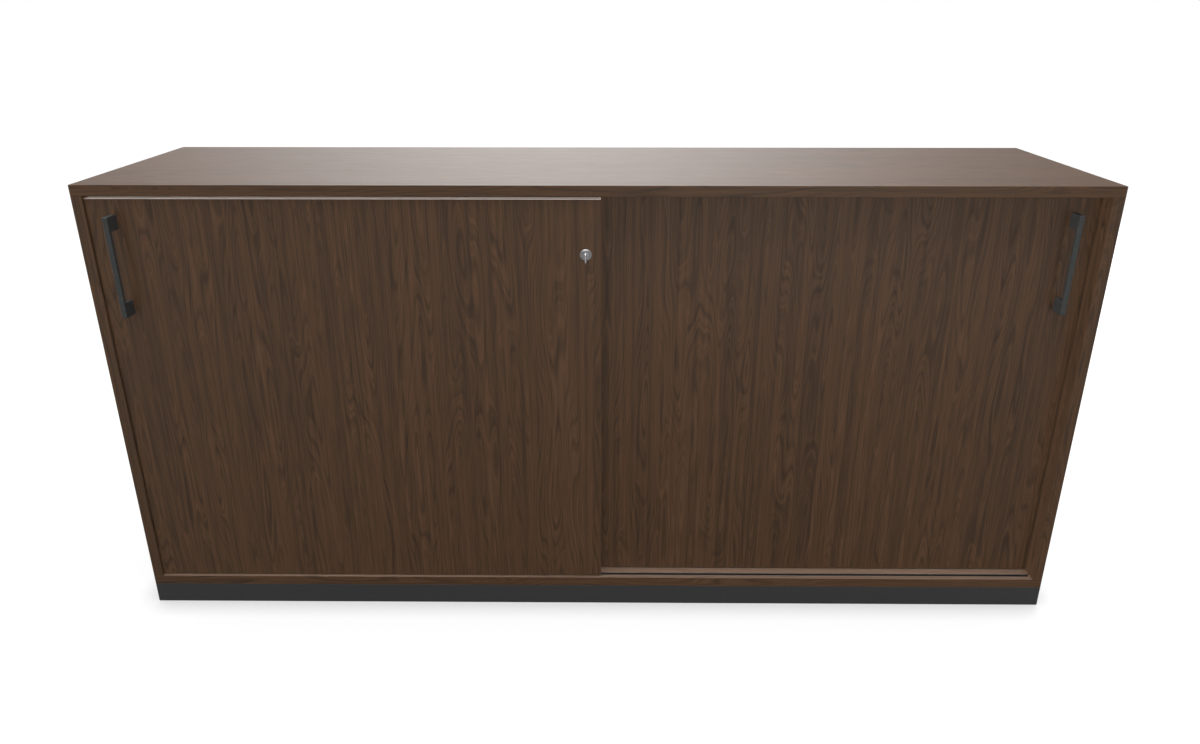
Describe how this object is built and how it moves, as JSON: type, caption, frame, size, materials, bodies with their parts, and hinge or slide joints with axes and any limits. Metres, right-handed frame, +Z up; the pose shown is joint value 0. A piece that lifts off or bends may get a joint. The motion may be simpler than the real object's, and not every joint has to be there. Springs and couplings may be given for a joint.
{
  "type": "sliding-door credenza",
  "caption": "Low office credenza in dark walnut laminate with overlapping sliding doors, square bow handles, a keyed cam lock, shelves inside and a dark plinth.",
  "frame": {"origin": "middle of the object's footprint on the floor, handles included", "axes": "+X to the right of someone facing the doors, +Y from the doors to the back, +Z up"},
  "size_m": [1.8, 0.4754, 0.852],
  "materials": {
    "walnut_laminate": "satin walnut-look laminate, grain along each board",
    "anthracite_laminate": "matt anthracite laminate",
    "handle_coating": "fine matt dark grey coating",
    "lock_nickel": "satin nickel plating",
    "key_steel": "stamped nickel-plated steel",
    "zinc_steel": "zinc plated",
    "foot_plastic": "moulded black",
    "wheel_nylon": "moulded natural nylon",
    "track_plastic": "extruded or moulded black"
  },
  "bodies": {
    "carcass": {"back_panel": "walnut_laminate", "bottom_panel": "walnut_laminate", "bottom_track_front": "track_plastic", "bottom_track_rear": "track_plastic", "centre_partition": "walnut_laminate", "foot_insert_back_left": "zinc_steel", "foot_insert_back_right": "zinc_steel", "foot_insert_front_left": "zinc_steel", "foot_insert_front_right": "zinc_steel", "left_shelf": "walnut_laminate", "left_shelf_pin_inner_back": "zinc_steel", "left_shelf_pin_inner_front": "zinc_steel", "left_shelf_pin_outer_back": "zinc_steel", "left_shelf_pin_outer_front": "zinc_steel", "left_side_panel": "walnut_laminate", "plinth_back": "anthracite_laminate", "plinth_front": "anthracite_laminate", "plinth_left": "anthracite_laminate", "plinth_right": "anthracite_laminate", "right_shelf": "walnut_laminate", "right_shelf_pin_inner_back": "zinc_steel", "right_shelf_pin_inner_front": "zinc_steel", "right_shelf_pin_outer_back": "zinc_steel", "right_shelf_pin_outer_front": "zinc_steel", "right_side_panel": "walnut_laminate", "top_panel": "walnut_laminate", "top_rail_front": "track_plastic", "top_rail_rear": "track_plastic"},
    "left_door": {"left_door": "walnut_laminate", "left_door_roller_housing_inner": "track_plastic", "left_door_roller_housing_outer": "track_plastic", "left_door_top_guide_inner": "track_plastic", "left_door_top_guide_outer": "track_plastic", "left_handle": "handle_coating", "left_handle_screw_lower": "zinc_steel", "left_handle_screw_upper": "zinc_steel", "lock_housing": "lock_nickel", "lock_nut": "lock_nickel"},
    "right_door": {"right_door": "walnut_laminate", "right_door_roller_housing_inner": "track_plastic", "right_door_roller_housing_outer": "track_plastic", "right_door_top_guide_inner": "track_plastic", "right_door_top_guide_outer": "track_plastic", "right_handle": "handle_coating", "right_handle_screw_lower": "zinc_steel", "right_handle_screw_upper": "zinc_steel", "strike": "lock_nickel"},
    "lock_plug": {"lock_plug": "lock_nickel", "lock_cam": "lock_nickel", "cam_screw": "zinc_steel"},
    "key": {"key": "key_steel"},
    "left_wheel_outer": {"left_door_wheel_outer": "wheel_nylon"},
    "left_wheel_inner": {"left_door_wheel_inner": "wheel_nylon"},
    "right_wheel_outer": {"right_door_wheel_outer": "wheel_nylon"},
    "right_wheel_inner": {"right_door_wheel_inner": "wheel_nylon"},
    "foot_front_left": {"levelling_foot_front_left": "foot_plastic"},
    "foot_front_right": {"levelling_foot_front_right": "foot_plastic"},
    "foot_back_left": {"levelling_foot_back_left": "foot_plastic"},
    "foot_back_right": {"levelling_foot_back_right": "foot_plastic"}
  },
  "joints": [
    {"name": "left_door_slide", "type": "slide", "parent": "carcass", "child": "left_door", "axis": [1, 0, 0], "range_m": [0, 0.815]},
    {"name": "right_door_slide", "type": "slide", "parent": "carcass", "child": "right_door", "axis": [1, 0, 0], "range_m": [-0.815, 0]},
    {"name": "lock_turn", "type": "hinge", "parent": "left_door", "child": "lock_plug", "pos_m": [-0.0175, -0.20675, 0.73], "axis": [0, -1, 0], "range_deg": [0, 90]},
    {"name": "key_pull", "type": "slide", "parent": "lock_plug", "child": "key", "axis": [0, -1, 0], "range_m": [0, 0.03]},
    {"name": "left_wheel_outer_roll", "type": "hinge", "parent": "left_door", "child": "left_wheel_outer", "pos_m": [-0.7905, -0.19775, 0.0673], "axis": [0, 1, 0], "continuous": true},
    {"name": "left_wheel_inner_roll", "type": "hinge", "parent": "left_door", "child": "left_wheel_inner", "pos_m": [-0.081, -0.19775, 0.0673], "axis": [0, 1, 0], "continuous": true},
    {"name": "right_wheel_outer_roll", "type": "hinge", "parent": "right_door", "child": "right_wheel_outer", "pos_m": [0.7905, -0.16875, 0.0673], "axis": [0, 1, 0], "continuous": true},
    {"name": "right_wheel_inner_roll", "type": "hinge", "parent": "right_door", "child": "right_wheel_inner", "pos_m": [0.081, -0.16875, 0.0673], "axis": [0, 1, 0], "continuous": true},
    {"name": "foot_front_left_screw", "type": "slide", "parent": "carcass", "child": "foot_front_left", "axis": [0, 0, -1], "range_m": [0, 0.012]},
    {"name": "foot_front_right_screw", "type": "slide", "parent": "carcass", "child": "foot_front_right", "axis": [0, 0, -1], "range_m": [0, 0.012]},
    {"name": "foot_back_left_screw", "type": "slide", "parent": "carcass", "child": "foot_back_left", "axis": [0, 0, -1], "range_m": [0, 0.012]},
    {"name": "foot_back_right_screw", "type": "slide", "parent": "carcass", "child": "foot_back_right", "axis": [0, 0, -1], "range_m": [0, 0.012]}
  ],
  "couplings": [
    {"joint": "left_wheel_outer_roll", "follows": "left_door_slide", "rad_per_m": 76.923},
    {"joint": "left_wheel_inner_roll", "follows": "left_door_slide", "rad_per_m": 76.923},
    {"joint": "right_wheel_outer_roll", "follows": "right_door_slide", "rad_per_m": 76.923},
    {"joint": "right_wheel_inner_roll", "follows": "right_door_slide", "rad_per_m": 76.923}
  ]
}
